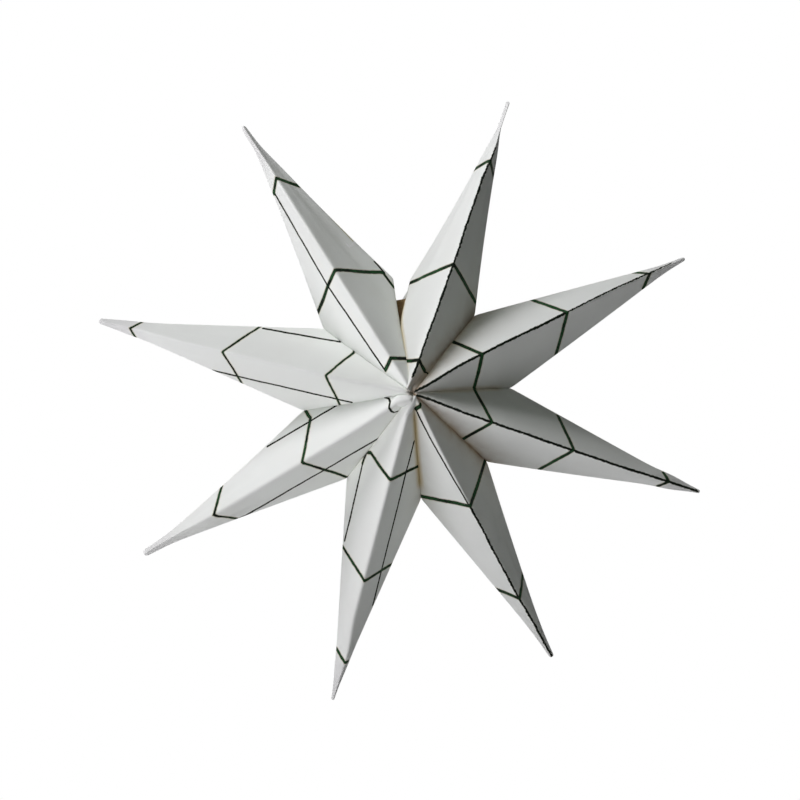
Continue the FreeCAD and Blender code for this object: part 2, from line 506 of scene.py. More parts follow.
class Graph:
    """Short hand for wiring one node tree."""

    def __init__(self, tree: bpy.types.NodeTree) -> None:
        """Start on a tree."""
        self.tree = tree

    @classmethod
    def cleared(cls, owner: bpy.types.ID) -> "Graph":
        """Empty the node tree of a material or a world and start on it.

        Args:
            owner: The material or the world.

        Returns:
            The graph.
        """
        owner.use_nodes = True
        owner.node_tree.nodes.clear()
        return cls(owner.node_tree)

    def node(self, kind: str, inputs: Optional[dict] = None, **settings: object) -> bpy.types.Node:
        """Add a node.

        Args:
            kind: Its type.
            inputs: What feeds its inputs, by their name or number.
            **settings: Properties to set on it.

        Returns:
            The node.
        """
        made = self.tree.nodes.new(kind)
        for name, value in settings.items():
            setattr(made, name, value)
        for name, value in (inputs or {}).items():
            self.feed(made.inputs[name], value)
        return made

    def feed(self, socket: bpy.types.NodeSocket, value: object) -> None:
        """Link a socket, or set a constant on it.

        Args:
            socket: The input.
            value: An output socket, a number or a row of numbers.
        """
        if isinstance(value, bpy.types.NodeSocket):
            self.tree.links.new(value, socket)
        else:
            socket.default_value = value

    def math(self, operation: str, *values: object, clamp: bool = False) -> bpy.types.NodeSocket:
        """Work out a number, kept from 0 to 1 where clamp says so."""
        inputs = dict(enumerate(values))
        return self.node("ShaderNodeMath", inputs, operation=operation, use_clamp=clamp).outputs[0]

    def vector(self, operation: str, *values: object) -> bpy.types.Node:
        """Work out a vector, the node's output 0, or a number, its output 1."""
        return self.node("ShaderNodeVectorMath", dict(enumerate(values)), operation=operation)

    def scaled(self, vector: object, scale: object) -> bpy.types.NodeSocket:
        """Lengthen a vector."""
        inputs = {0: vector, "Scale": scale}
        return self.node("ShaderNodeVectorMath", inputs, operation="SCALE").outputs[0]

    def spread(
        self, value: object, low: float, high: float, to: Pair = (0.0, 1.0)
    ) -> bpy.types.NodeSocket:
        """Map a number from one range to another, with soft ends.

        Args:
            value: The number.
            low: Start of its range.
            high: End of its range.
            to: Range that it is mapped to.

        Returns:
            The result's socket.
        """
        inputs = {"Value": value, "From Min": low, "From Max": high, "To Min": to[0], "To Max": to[1]}
        made = self.node("ShaderNodeMapRange", inputs, interpolation_type="SMOOTHSTEP")
        return made.outputs["Result"]

    def mix(self, share: object, first: object, second: object) -> bpy.types.NodeSocket:
        """Blend two colours, the second by the share given."""
        inputs = {0: share, 6: first, 7: second}
        return self.node("ShaderNodeMix", inputs, data_type="RGBA").outputs[2]

    def noise(self, place: object, cloud: Cloud, output: str = "Fac") -> bpy.types.NodeSocket:
        """Add a cloudy texture.

        Args:
            place: Coordinates.
            cloud: The noise.
            output: Name of the output to give back.

        Returns:
            The output's socket.
        """
        inputs = {
            "Vector": place, "Scale": cloud.scale, "Detail": cloud.detail, "Roughness": cloud.grain,
        }
        return self.node("ShaderNodeTexNoise", inputs).outputs[output]

    def patches(self, place: object, cloud: Cloud) -> bpy.types.NodeSocket:
        """Patches of a noise, over the values that it tells within."""
        return self.spread(self.noise(place, cloud), *cloud.within, cloud.to)

    def strayed(self, place: object, over: object, cloud: Cloud) -> bpy.types.NodeSocket:
        """Let a place stray by noise.

        Args:
            place: The place.
            over: Coordinates for the noise.
            cloud: The noise.

        Returns:
            The strayed place's socket.
        """
        colour = self.noise(over, cloud, "Color")
        centred = self.vector("SUBTRACT", colour, (0.5, 0.5, 0.5)).outputs[0]
        return self.vector("ADD", place, self.scaled(centred, cloud.amount)).outputs[0]

    def bump(self, height: object, strength: float, distance: float) -> bpy.types.NodeSocket:
        """Tilt the surface by a height, in units of the distance, and keep part of the tilt."""
        inputs = {"Height": height, "Strength": strength, "Distance": distance}
        return self.node("ShaderNodeBump", inputs).outputs[0]


def line_distance_group() -> bpy.types.NodeTree:
    """Node group that measures how far a place lies from the edge of a straight line.

    Returns:
        The group, made once.
    """
    name = "printed_line"
    if name in bpy.data.node_groups:
        return bpy.data.node_groups[name]
    group = bpy.data.node_groups.new(name, "ShaderNodeTree")
    for socket in ("Place", "Start", "End"):
        group.interface.new_socket(socket, in_out="INPUT", socket_type="NodeSocketVector")
    group.interface.new_socket("Half Width", in_out="INPUT", socket_type="NodeSocketFloat")
    group.interface.new_socket("Distance", in_out="OUTPUT", socket_type="NodeSocketFloat")
    graph = Graph(group)
    place, start, end, half_width = graph.node("NodeGroupInput").outputs[:4]
    to_place = graph.vector("SUBTRACT", place, start).outputs[0]
    run = graph.vector("SUBTRACT", end, start).outputs[0]
    along = graph.vector("DOT_PRODUCT", to_place, run).outputs[1]
    length = graph.vector("DOT_PRODUCT", run, run).outputs[1]
    nearest = graph.scaled(run, graph.math("DIVIDE", along, length, clamp=True))
    off_line = graph.vector("SUBTRACT", to_place, nearest).outputs[0]
    apart = graph.vector("LENGTH", off_line).outputs[1]
    graph.node("NodeGroupOutput", {0: graph.math("SUBTRACT", apart, half_width)})
    return group


# ---- finishes -------------------------------------------------------------------------------------


@dataclass(frozen=True)
class PaperFinish:
    """Thick white cotton paper with a screen-printed honeycomb."""

    white: Colour = (0.872, 0.912, 0.862, 1.0)
    warm_white: Colour = (0.845, 0.876, 0.822, 1.0)
    # greyer tone towards each arm's point
    point_grey: Colour = (0.735, 0.735, 0.730, 1.0)
    scuffed: Colour = (0.97, 0.98, 0.97, 1.0)
    # warm painted shade of the seams' valleys and the centre pit
    seam_shade: Colour = (0.43, 0.33, 0.225, 1.0)
    trim: Colour = (0.62, 0.53, 0.31, 1.0)
    green: Colour = (0.022, 0.085, 0.028, 1.0)
    black: Colour = (0.007, 0.011, 0.007, 1.0)
    ochre: Colour = (0.50, 0.46, 0.20, 1.0)

    ink_edge: float = 0.16
    halo_fades: Pair = (0.75, 0.05)
    halo_share: float = 0.42
    thin_halo_less: float = 0.35
    green_within: Pair = (-0.15, -0.75)
    faded_edge: Pair = (0.45, -0.2)
    faded_share: float = 0.75
    scuff_edge: Pair = (0.6, -0.3)
    point_grey_share: float = 0.4
    point_grey_from: Pair = (130.0, 146.0)
    gloss: float = 0.22
    ink_gloss_less: float = 0.19
    ink_smoother: float = 0.22
    ink_thickness: float = 0.02
    scuff_height: float = 6.0  # in thicknesses of the ink
    relief_kept: float = 0.55
    grain_way: tuple[float, float, float] = (1.0, 0.3, 0.7)

    wobble: Cloud = Cloud(420.0, 0.55, grain=0.6)
    sway: Cloud = Cloud(60.0, 1.1, detail=1.0)
    raggedness: Cloud = Cloud(700.0, 2.0, grain=0.6)
    green_patches: Cloud = Cloud(95.0, detail=3.0, grain=0.6, within=(0.36, 0.60))
    rubbed_ink: Cloud = Cloud(900.0, detail=3.0, grain=0.7, within=(0.22, 0.34), to=(0.55, 1.0))
    torn_fibres: Cloud = Cloud(800.0, detail=3.0, grain=0.7, within=(0.38, 0.56))
    warmth: Cloud = Cloud(28.0, detail=4.0, grain=0.55, within=(0.42, 0.72), to=(0.0, 0.55))
    # patches in the painted seam shade
    seam_shade_patches: Cloud = Cloud(130.0, detail=3.0, grain=0.6, to=(0.65, 1.15))
    sheen: Cloud = Cloud(240.0, to=(0.78, 0.90))
    tooth: Cloud = Cloud(1500.0, 0.035, detail=3.0, grain=0.6)
    fibre: Cloud = Cloud(380.0, 0.06, detail=4.0, grain=0.65)
    fibre_stretch: tuple[float, float, float] = (1.0, 0.35, 2.6)
    cockle: Cloud = Cloud(55.0, 0.30, grain=0.4)

    @staticmethod
    def off_lines(graph: Graph, place: object, lines: Sequence[Rule]) -> bpy.types.NodeSocket:
        """Distance to the nearest of several lines.

        Args:
            graph: Where to wire it.
            place: Place on the sheet.
            lines: The lines.

        Returns:
            The distance's socket, below 0 inside a line.
        """
        nearest: object = FORM.tip_radius
        for line in lines:
            inputs = {
                "Place": place,
                "Start": (*line.start, 0.0),
                "End": (*line.end, 0.0),
                "Half Width": line.width / 2.0,
            }
            made = graph.node("ShaderNodeGroup", inputs, node_tree=line_distance_group())
            nearest = graph.math("MINIMUM", nearest, made.outputs[0])
        return nearest

    def build(self, name: str, printed: Print, shift: float) -> bpy.types.Material:
        """Make the paper of one arm.

        Args:
            name: The material's name.
            printed: The arm's print.
            shift: Number that sets its grain apart from the other arms'.

        Returns:
            The material.
        """
        made = bpy.data.materials.new(name)
        graph = Graph.cleared(made)
        mapped = graph.node("ShaderNodeAttribute", attribute_name=SHEET_MAP).outputs["Vector"]
        along, across, seam = graph.node("ShaderNodeSeparateXYZ", {0: mapped}).outputs
        place = graph.node("ShaderNodeCombineXYZ", {0: along, 1: across}).outputs[0]
        object_place = graph.node("ShaderNodeTexCoord").outputs["Object"]
        apart = tuple(shift * way for way in self.grain_way)
        moved = graph.vector("ADD", object_place, apart).outputs[0]

        cover, ink, halo = self.ink(graph, place, moved, printed)
        # the paper turns greyer towards the arm's point
        point_greying = graph.spread(along, *self.point_grey_from, (0.0, self.point_grey_share))
        paper = graph.mix(point_greying, self.paper(graph, moved, seam), self.point_grey)
        tinted = graph.mix(graph.math("MULTIPLY", halo, self.halo_share), paper, self.ochre)
        marked, scuff = self.marks(graph, place, moved, printed, tinted)
        raised = graph.math("ADD", cover, graph.math("MULTIPLY", scuff, self.scuff_height))
        less = graph.math("MULTIPLY", cover, self.ink_gloss_less)
        inputs = {
            "Base Color": graph.mix(cover, marked, ink),
            "Roughness": self.roughness(graph, moved, cover),
            "Normal": self.relief(graph, moved, raised),
            "Specular IOR Level": graph.math("SUBTRACT", self.gloss, less),
        }
        shader = graph.node("ShaderNodeBsdfPrincipled", inputs)
        graph.node("ShaderNodeOutputMaterial", {0: shader.outputs[0]})
        return made

    def ink(
        self, graph: Graph, place: object, moved: object, printed: Print
    ) -> tuple[bpy.types.NodeSocket, bpy.types.NodeSocket, bpy.types.NodeSocket]:
        """Wire the printed lines.

        Args:
            graph: Where to wire them.
            place: Place on the sheet.
            moved: Coordinates for noise.
            printed: The arm's print.

        Returns:
            Sockets for how far the ink covers, its colour and the halo round it.
        """
        neat = graph.strayed(place, moved, self.wobble)
        neat = graph.strayed(neat, moved, self.sway)
        ragged = graph.strayed(neat, moved, self.raggedness)
        bold = self.off_lines(graph, neat, printed.lines(Stroke.BOLD))
        fine = self.off_lines(graph, neat, printed.lines(Stroke.FINE))
        rough = self.off_lines(graph, ragged, printed.lines(Stroke.ROUGH))
        thin = graph.math("MINIMUM", fine, rough)
        cover = graph.spread(graph.math("MINIMUM", bold, thin), self.ink_edge, -self.ink_edge)
        near = graph.math("MINIMUM", bold, graph.math("ADD", thin, self.thin_halo_less))
        inside = graph.spread(bold, *self.green_within)
        greenness = graph.math("MULTIPLY", inside, graph.patches(moved, self.green_patches))
        kept = graph.patches(moved, self.rubbed_ink)
        return (
            graph.math("MULTIPLY", cover, kept),
            graph.mix(greenness, self.black, self.green),
            graph.spread(near, *self.halo_fades),
        )

    def marks(
        self, graph: Graph, place: object, moved: object, printed: Print, paper: object
    ) -> tuple[bpy.types.NodeSocket, object]:
        """Wire the faded lines and the scuffs.

        Args:
            graph: Where to wire them.
            place: Place on the sheet.
            moved: Coordinates for noise.
            printed: The arm's print.
            paper: Colour of the paper without them.

        Returns:
            The colour's socket, and where fibres are lifted.
        """
        faded, scuffs = printed.lines(Stroke.FADED), printed.lines(Stroke.SCUFF)
        if faded:
            off_faded = self.off_lines(graph, place, faded)
            share = graph.spread(off_faded, *self.faded_edge, (0.0, self.faded_share))
            paper = graph.mix(share, paper, self.ochre)
        if not scuffs:
            return paper, 0.0
        near = graph.spread(self.off_lines(graph, place, scuffs), *self.scuff_edge)
        scuff = graph.math("MULTIPLY", near, graph.patches(moved, self.torn_fibres))
        return graph.mix(scuff, paper, self.scuffed), scuff

    def paper(self, graph: Graph, moved: object, seam: object) -> bpy.types.NodeSocket:
        """Wire the colour of the bare paper, with painted shade in the seams' valleys and the centre
        pit.

        Args:
            graph: Where to wire it.
            moved: Coordinates for noise.
            seam: How strongly the painted shade of the seams' valleys and the centre pit darkens the
                place.

        Returns:
            The colour's socket.
        """
        toned = graph.mix(graph.patches(moved, self.warmth), self.white, self.warm_white)
        # painted shade of the seams' valleys and the centre pit, in patches
        seam_shade_mask = graph.math("MULTIPLY", seam, graph.patches(moved, self.seam_shade_patches), clamp=True)
        seam_shaded = graph.mix(seam_shade_mask, toned, self.seam_shade)
        trim = graph.node("ShaderNodeAttribute", attribute_name=SEAM_TRIM).outputs["Fac"]
        return graph.mix(trim, seam_shaded, self.trim)

    def roughness(self, graph: Graph, moved: object, cover: object) -> bpy.types.NodeSocket:
        """Wire how matt the surface is: the ink a little less than the paper."""
        smoother = graph.math("MULTIPLY", cover, self.ink_smoother)
        return graph.math("SUBTRACT", graph.patches(moved, self.sheen), smoother)

    def relief(self, graph: Graph, moved: object, cover: object) -> bpy.types.NodeSocket:
        """Wire the tooth of the paper: pressed fibres, a soft cockle and the ink's thickness.

        Args:
            graph: Where to wire it.
            moved: Coordinates for noise.
            cover: Where ink or lifted fibres lie.

        Returns:
            The normal's socket.
        """
        inputs = {"Vector": moved, "Scale": self.fibre_stretch}
        stretched = graph.node("ShaderNodeMapping", inputs).outputs[0]
        height = graph.math("MULTIPLY", cover, self.ink_thickness)
        layers = ((moved, self.tooth), (stretched, self.fibre), (moved, self.cockle))
        for over, cloud in layers:
            layer = graph.math("MULTIPLY", graph.noise(over, cloud), cloud.amount)
            height = graph.math("ADD", height, layer)
        return graph.bump(height, self.relief_kept, MM)


@dataclass(frozen=True)
class CardFinish:
    """Brown kraft card: pressed faces, or the paler torn grain of a cut edge."""

    dark: Colour
    light: Colour
    grain: float = 260.0
    fleck_finer: float = 5.0
    fleck_share: float = 0.4
    light_within: Pair = (0.5, 0.95)
    cloud_within: Pair = (0.3, 0.7)
    dullness: Pair = (0.82, 0.93)
    gloss: float = 0.2
    relief_kept: float = 0.5
    fleck_depth: float = 0.1

    def build(self, name: str) -> bpy.types.Material:
        """Make the card's material.

        Args:
            name: Its name.

        Returns:
            The material.
        """
        made = bpy.data.materials.new(name)
        graph = Graph.cleared(made)
        place = graph.node("ShaderNodeTexCoord").outputs["Object"]
        cloud = graph.noise(place, Cloud(self.grain, detail=4.0, grain=0.6))
        fleck = graph.noise(place, Cloud(self.fleck_finer * self.grain, grain=0.7))
        both = graph.math("ADD", graph.math("MULTIPLY", fleck, self.fleck_share), cloud)
        inputs = {
            "Base Color": graph.mix(graph.spread(both, *self.light_within), self.dark, self.light),
            "Roughness": graph.spread(cloud, *self.cloud_within, self.dullness),
            "Normal": graph.bump(fleck, self.relief_kept, self.fleck_depth * MM),
            "Specular IOR Level": self.gloss,
        }
        shader = graph.node("ShaderNodeBsdfPrincipled", inputs)
        graph.node("ShaderNodeOutputMaterial", {0: shader.outputs[0]})
        return made


# ---- arms -----------------------------------------------------------------------------------------


@dataclass(frozen=True)
class InnerEnd:
    """Soft inner end of a ridge, pushed up over its neighbours at the star's centre."""

    outer: float
    inner: float
    half_width: float
    height: float
    lift: float
    drift: float
    wrap: float = 100.0  # how far the sheet goes round it to each side, in degrees
    first_half_width: float = 0.9
    first_height: float = 1.2
    sunk: float = 0.25  # how far its first row lies below the ridge
    puffed_by: float = 0.55
    narrowing: float = 0.25
    drifts_from: float = 0.25
    closes_from: float = 0.76
    closes_over: float = 0.245
    flatness: float = 0.45  # share of the arch that is left where the end closes
    rows: int = 28
    columns: int = 26

    def outline(self) -> tuple[np.ndarray, np.ndarray, np.ndarray]:
        """Shape of the soft end in the arm's own directions.

        Returns:
            Grids of the distance out, across and deep.
        """
        share = np.linspace(0.0, 1.0, self.rows)[:, None]
        turn = np.radians(np.linspace(-self.wrap, self.wrap, self.columns))[None, :]
        out = self.outer + (self.inner - self.outer) * share
        puffed = smooth(share, 0.0, self.puffed_by)
        near_end = np.clip(share - self.closes_from, 0.0, 1.0) / self.closes_over
        closing = np.sqrt(np.clip(1.0 - near_end**2, 0.0, 1.0))
        half_width = self.first_half_width + (self.half_width - self.first_half_width) * puffed
        half_width = half_width * (1.0 - self.narrowing * share) * closing
        height = self.first_height + (self.height - self.first_height) * puffed
        ridge = -FORM.half_depth * (1.0 - out / FORM.cone_length)
        crown = ridge + self.sunk - (self.lift + self.sunk) * puffed
        across = self.drift * smooth(share, self.drifts_from, 1.0) + half_width * np.sin(turn)
        arched = (self.flatness + (1.0 - self.flatness) * closing) * np.cos(turn)
        return np.broadcast_to(out, across.shape), across, crown + height * (1.0 - arched)


PUFFED_END = InnerEnd(outer=11.5, inner=0.8, half_width=3.9, height=5.0, lift=1.5, drift=-1.7)
NARROW_END = InnerEnd(outer=15.0, inner=0.6, half_width=2.3, height=3.8, lift=0.9, drift=-1.5)


@dataclass
class Arm:
    """One folded arm: four faces round a hollow, two ridges, two soft sides and four glue flaps."""

    number: int
    left: Seam
    right: Seam
    printed: Print
    tip_out: float = 0.0
    tip_turn: float = 0.0
    point_curl: float = 0.0
    point_end: float = 0.5
    ridge_soft: float = 3.6
    ridge_drift: float = 0.0
    inner_lean: float = 0.0
    point_lean: float = 0.0
    left_bulge: float = 0.0
    right_bulge: float = 0.0
    outer_bulge: float = 0.0
    inner_end: Optional[InnerEnd] = None
    finish: PaperFinish = field(default_factory=PaperFinish)
    rows: int = 50
    row_spacing: float = 1.15  # power that sets rows closer towards the seam
    first_row: float = 0.9  # how far past the seam the outer sheet starts, in folds
    cap_rows: tuple[float, ...] = (0.85, 0.6, 0.35, 0.15, 0.03)
    bend_columns: tuple[int, ...] = (8, 4, 7, 4)  # ridge, and on to the side, over a quarter
    fold_turns: tuple[float, ...] = (0.25, 0.5, 0.75)
    seam_rounds: int = 30
    grain_step: float = 0.37  # sets the paper's grain apart from the next arm's

    @property
    def name(self) -> str:
        """The arm's name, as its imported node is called."""
        return f"arm_{self.number}"

    @property
    def angle(self) -> float:
        """Direction of the arm on the even star, in radians clockwise from the closure."""
        return math.radians(FORM.direction(self.number))

    @property
    def cap(self) -> float:
        """Length over which the point rounds off."""
        return FORM.cap_least + FORM.cap_growth * self.point_end

    # -- cross-section --

    def columns(self) -> Grids:
        """Where the lines along the arm lie round its girth.

        Returns:
            For each line, the corner of the girth that it bends round and its share of that bend.
        """
        quarter, side = self.bend_columns, self.bend_columns[:1]
        half = quarter + side + quarter[:0:-1]
        counts = half + half
        corner = np.concatenate([np.full(count, place) for place, count in enumerate(counts)])
        share = np.concatenate([np.arange(count) / count for count in counts])
        return corner, share

    def girth(self, height: np.ndarray) -> Grids:
        """Rounded rhombus of the arm at given heights.

        Args:
            height: Distances out from the star's axis, one column for each line along the arm.

        Returns:
            Distances across the arm and behind the middle plane.
        """
        cone = 1.0 - height / FORM.cone_length
        closing = np.clip((height - FORM.tip_radius + self.cap) / self.cap, 0.0, 1.0)
        cap = np.sqrt(np.clip(1.0 - closing**2, 0.0, 1.0))
        needle = self.point_end + FORM.point_flare * np.maximum(FORM.tip_radius - height, 0.0)
        half_width = never_under(FORM.half_width * cone, needle)
        half_depth = never_under(FORM.half_depth * cone, FORM.point_flatness * needle)
        face = np.hypot(half_width, half_depth)
        ridge = np.minimum(self.ridge_soft, FORM.ridge_share * face)
        side = np.minimum(FORM.side_soft, FORM.side_share * face)
        across, deep = half_width / face, half_depth / face
        ridge_peak = half_depth + FORM.bend_lift * ridge * deep
        side_peak = half_width + FORM.bend_lift * side * across
        swell = FORM.swell * face * smooth(face, *FORM.swell_grows)
        near = (ridge * across, ridge_peak - ridge * deep)
        middle = (0.5 * side_peak + swell * deep, 0.5 * ridge_peak + swell * across)
        far = (side_peak - side * across, side * deep)
        zero = np.zeros_like(height)
        quarter = [(zero, ridge_peak), near, middle, far, (side_peak, zero)]
        loop = [(x, -y) for x, y in quarter]
        loop += [(x, y) for x, y in quarter[3::-1]]
        loop += [(-x, y) for x, y in quarter[1:]]
        loop += [(-x, -y) for x, y in quarter[3:0:-1]]
        corner, share = self.columns()
        lines, total = np.arange(len(corner)), len(loop)
        found = []
        for axis in (0, 1):
            grid = np.stack([np.broadcast_to(place[axis], height.shape) for place in loop])
            before = grid[(corner - 1) % total, :, lines].T
            here = grid[corner, :, lines].T
            after = grid[(corner + 1) % total, :, lines].T
            start, end = 0.5 * (before + here), 0.5 * (here + after)
            found.append(self.bent(start, here, end, share))
        return found[0] * cap, found[1] * cap

    @staticmethod
    def bent(start: np.ndarray, corner: np.ndarray, end: np.ndarray, share: object) -> np.ndarray:
        """Places on the soft bend that rounds a corner."""
        return (1 - share) ** 2 * start + 2 * share * (1 - share) * corner + share**2 * end

    def seam_heights(self) -> np.ndarray:
        """How far out each line along the arm starts, where it meets the seam.

        Returns:
            The distances, found by closing in on them.
        """
        height = np.zeros((1, len(self.columns()[0])))
        for _ in range(self.seam_rounds):
            across, _ = self.girth(height)
            height = np.abs(across) / math.tan(FORM.half_pitch)
        return height[0]

    # -- placing --

    def to_star(self, out: np.ndarray, across: np.ndarray) -> Grids:
        """Turn the arm's own directions into X and Z."""
        sine, cosine = math.sin(self.angle), math.cos(self.angle)
        return out * sine + across * cosine, out * cosine - across * sine

    @staticmethod
    def by_side(across: np.ndarray, right: object, left: object) -> np.ndarray:
        """Give each point the value of its own side of the arm."""
        return np.where(across >= 0.0, right, left)

    def tip_shift(self) -> Pair:
        """How far the tip strays from the even star.

        Returns:
            The shifts along X and Z.
        """
        turned = self.angle + math.radians(self.tip_turn)
        radius = FORM.tip_radius + self.tip_out
        even_x = FORM.tip_radius * math.sin(self.angle)
        even_z = FORM.tip_radius * math.cos(self.angle)
        return radius * math.sin(turned) - even_x, radius * math.cos(turned) - even_z

    def seam_shift(self, out: np.ndarray, across: np.ndarray, deep: np.ndarray) -> Grids:
        """How far each line's seam end strays from the even star.

        Args:
            out: Distances out along the arm.
            across: Distances across it.
            deep: Distances behind the middle plane.

        Returns:
            The shifts along X and Z.
        """
        radius = np.hypot(out, across)
        even = self.to_star(out, across)
        right, left = self.right.placed(radius, deep), self.left.placed(radius, deep)
        return tuple(self.by_side(across, right[axis], left[axis]) - even[axis] for axis in (0, 1))

    def heights(self, start: np.ndarray) -> np.ndarray:
        """How far out the points of each line along the arm lie.

        Args:
            start: Where the lines start.

        Returns:
            One row for each ring of points, closer together over the tip's cap.
        """
        share = (np.linspace(0.0, 1.0, self.rows) ** self.row_spacing)[:, None]
        first = start + self.first_row * FORM.fold
        height = (first + (FORM.tip_radius - first) * share)[:-1]
        before_cap = height.max(axis=1) < FORM.tip_radius - self.cap
        near_end = FORM.tip_radius - self.cap * np.array(self.cap_rows)[:, None]
        near_end = np.broadcast_to(near_end, (len(self.cap_rows), len(start)))
        return np.vstack([height[before_cap], near_end])

    def outside(
        self, height: np.ndarray, past: np.ndarray, run: np.ndarray, shift: Grids
    ) -> Grids:
        """Outside of the sheet, from the seams to the tip.

        Args:
            height: Distances out along the arm.
            past: Distances past the seam.
            run: Share of the way from the seam to the tip.
            shift: How far the seam ends stray along X and Z.

        Returns:
            The distances across the arm, and the places along X, Y and Z.
        """
        across, deep = self.thickened(*self.girth(height), past)
        across = across + self.bulged(across, run)
        crest = np.maximum(-deep.min(axis=1, keepdims=True), HAND.drift_floor)
        near_ridge = np.clip(-deep / crest, 0.0, 1.0)
        curl = self.point_curl * smooth(height, HAND.curl_from, FORM.tip_radius) ** 2
        strayed = across + curl + self.ridge_sway(height, across) * near_ridge
        places = zip(self.to_star(height, strayed), shift, self.tip_shift())
        x, z = (even + (1.0 - run) * seam + run * tip for even, seam, tip in places)
        y = deep + self.unevenness(x, deep, z, run)
        return across, np.stack([x, y, z])

    def surface(self) -> dict[str, np.ndarray]:
        """Every point of the sheet, from the flaps' inner edge to the tip.

        Returns:
            Grids of X, Y and Z in millimetres, of the place on the flat sheet, of its painted seam
            shade and of its seam trim.
        """
        start = self.seam_heights()
        seam_across, seam_deep = (grid[0] for grid in self.girth(start[None, :]))
        shift = self.seam_shift(start, seam_across, seam_deep)
        height = self.heights(start)
        run = (height - start) / (FORM.tip_radius - start)
        across, outer = self.outside(height, height - start, run, shift)

        edge_x, edge_z = self.to_star(start, seam_across)
        edge = np.stack([edge_x + shift[0], seam_deep, edge_z + shift[1]])
        recess = self.by_side(seam_across, -self.right.flap_recess, self.left.flap_recess)
        recess = recess * smooth(np.hypot(start, seam_across), 0.0, FORM.centre_blend)
        inner = self.folded_rows(edge, outer[:, 0], recess)
        grid = {axis: np.vstack([inner[:, place], outer[place]]) for place, axis in enumerate("xyz")}

        left_over = np.vstack([np.ones_like(inner[:, 0]), 1.0 - run])
        grown_out, grown_across = self.grown(shift, seam_across)
        flat_height = np.vstack([np.tile(start, (len(inner), 1)), height]) + left_over * grown_out
        flat_across = np.vstack([np.tile(seam_across, (len(inner), 1)), across])
        flat_across = flat_across + left_over * grown_across
        grid["along"], grid["across"] = self.on_sheet(flat_height, flat_across)
        off_edge = sum((grid[axis] - edge[place]) ** 2 for place, axis in enumerate("xyz"))
        off_seam = HAND.face_slant * np.sqrt(off_edge)
        radius = np.hypot(grid["x"], grid["z"])
        grid["seam_shade"] = self.seam_shaded(off_seam, flat_across, radius)
        grid["trim"] = self.trimmed(off_seam, flat_across, radius)
        self.settle_centre(grid)
        return grid

    def folded_rows(self, edge: np.ndarray, sheet: np.ndarray, recess: np.ndarray) -> np.ndarray:
        """Rows of points over the glue flap and round the fold at the seam.

        Args:
            edge: Corner of the fold, as rows of X, Y and Z.
            sheet: First points of the outer sheet, in the same way.
            recess: How far along X the flap lies back from the edge.

        Returns:
            The rows, each of X, Y and Z, from the flap's inner edge to the fold.
        """
        back = np.stack([recess, 0.0 * recess, 0.0 * recess])
        flap_start, flap_end = (
            edge * (1.0 - reach / FORM.seam_depth) + back for reach in (FORM.fold, FORM.flap)
        )
        rows = [flap_end, 0.5 * (flap_end + flap_start), flap_start]
        rows += [self.bent(flap_start, edge, sheet, turn) for turn in self.fold_turns]
        return np.stack(rows)

    @staticmethod
    def thickened(across: np.ndarray, deep: np.ndarray, past: np.ndarray) -> Grids:
        """Set the outside of the sheet off from the seams by its thickness."""
        raised = FORM.skin * (1.0 - np.exp(-past / FORM.skin_blend))
        return tuple(grid * (1.0 + raised / widest(grid, FORM.skin_floor)) for grid in (across, deep))

    def bulged(self, across: np.ndarray, run: np.ndarray) -> np.ndarray:
        """How far the sides bow out or in.

        Args:
            across: Distances across the arm.
            run: Share of the way from the seam to the tip.

        Returns:
            The shifts across the arm.
        """
        bow = self.by_side(across, self.right_bulge, self.left_bulge) * 4.0 * run * (1.0 - run)
        off = (run - HAND.outer_bulge_at) / HAND.outer_bulge_spread
        outer = self.outer_bulge * np.exp(-(off**2))
        return across / widest(across, HAND.bulge_floor) * (bow + outer)

    def ridge_sway(self, height: np.ndarray, across: np.ndarray) -> np.ndarray:
        """How far the front ridge strays across the arm.

        Args:
            height: Distances out along the arm.
            across: Distances across it.

        Returns:
            The shifts across the arm.
        """
        even = smooth(height, *HAND.drift_grows) * (1.0 - smooth(height, *HAND.drift_ends))
        inner = self.inner_lean * np.exp(-height / HAND.inner_lean_fade)
        point = self.point_lean * widest(across) * smooth(height, *HAND.point_lean_grows)
        return self.ridge_drift * even + inner + point

    def grown(self, shift: Grids, across: np.ndarray) -> Grids:
        """How much further the sheet reaches where a lip of the closure stands out.

        Args:
            shift: How far the seam ends stray along X and Z.
            across: Distances across the arm, whose sign tells the seam.

        Returns:
            The reach out along the arm and across it, 0 at a glued seam.
        """
        right, left = (float(isinstance(seam, ClosureEdge)) for seam in (self.right, self.left))
        lip = self.by_side(across, right, left)
        sine, cosine = math.sin(self.angle), math.cos(self.angle)
        x, z = shift
        return lip * (x * sine + z * cosine), lip * (x * cosine - z * sine)

    def seam_shaded(self, off_seam: np.ndarray, across: np.ndarray, radius: np.ndarray) -> np.ndarray:
        """How strongly painted shade darkens each point: warm shade in the seams' valleys and in the
        centre pit.

        Args:
            off_seam: Distances from the seam.
            across: Distances across the arm, whose sign tells the seam.
            radius: Distances from the star's axis.

        Returns:
            Shares from 0 to 1.
        """
        # painted shade of the seam's valley, fading off the seam
        marks = (HAND.close_seam_shade, HAND.wide_seam_shade)
        seam_shade_mask = sum(strength * np.exp(-off_seam / fade) for strength, fade in marks)
        # painted shade in the centre pit
        strength, spread = HAND.centre_pit_shade
        centre = strength * np.exp(-((radius / spread) ** 2))
        return self.by_side(across, self.right.seam_shade, self.left.seam_shade) * seam_shade_mask + centre

